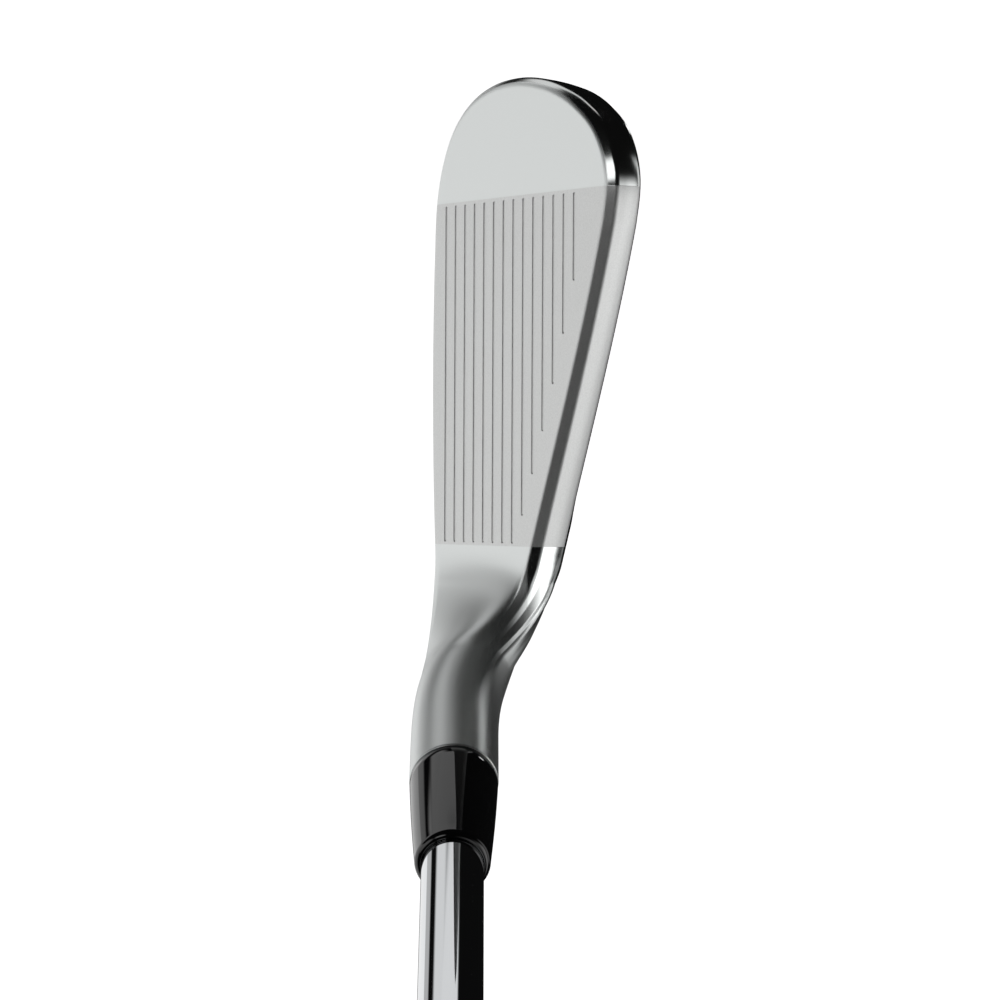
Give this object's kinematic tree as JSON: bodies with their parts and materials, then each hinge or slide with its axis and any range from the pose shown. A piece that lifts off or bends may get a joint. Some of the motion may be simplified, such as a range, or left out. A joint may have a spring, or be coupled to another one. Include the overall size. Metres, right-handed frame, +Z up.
{
  "type": "iron golf club",
  "caption": "Right-handed iron golf club: cavity-back steel head with a scored face, tapered black ferrule, stepped steel shaft and a rubber grip.",
  "frame": {"origin": "ground contact of the sole under the middle of the scorelines, club held at address", "axes": "+X along the scorelines towards the heel, +Z up, the face looks to -Y and up; the shaft leans to +X"},
  "size_m": [0.5244, 0.0414, 0.839],
  "materials": {
    "head_chrome": "satin chrome over forged steel, blasted between the scoreline ends",
    "foam_tape": "black foam tape",
    "badge_metal": "brushed, dark anodised",
    "epoxy": "cured epoxy",
    "brass_plug": "turned",
    "ferrule_black": "polished black plastic",
    "shaft_chrome": "polished chrome plate on steel",
    "band_film": "plain dark foil band",
    "paper_tape": "crepe double-sided tape",
    "grip_rubber": "matt moulded rubber",
    "cap_rubber": "matt moulded rubber"
  },
  "bodies": {
    "root": {"clubhead": "head_chrome", "badge_tape": "foam_tape", "cavity_badge": "badge_metal", "hosel_epoxy": "epoxy", "tip_plug": "brass_plug", "ferrule": "ferrule_black", "shaft": "shaft_chrome", "shaft_band": "band_film", "grip_tape": "paper_tape", "grip_sleeve": "grip_rubber", "grip_cap": "cap_rubber"}
  },
  "joints": []
}
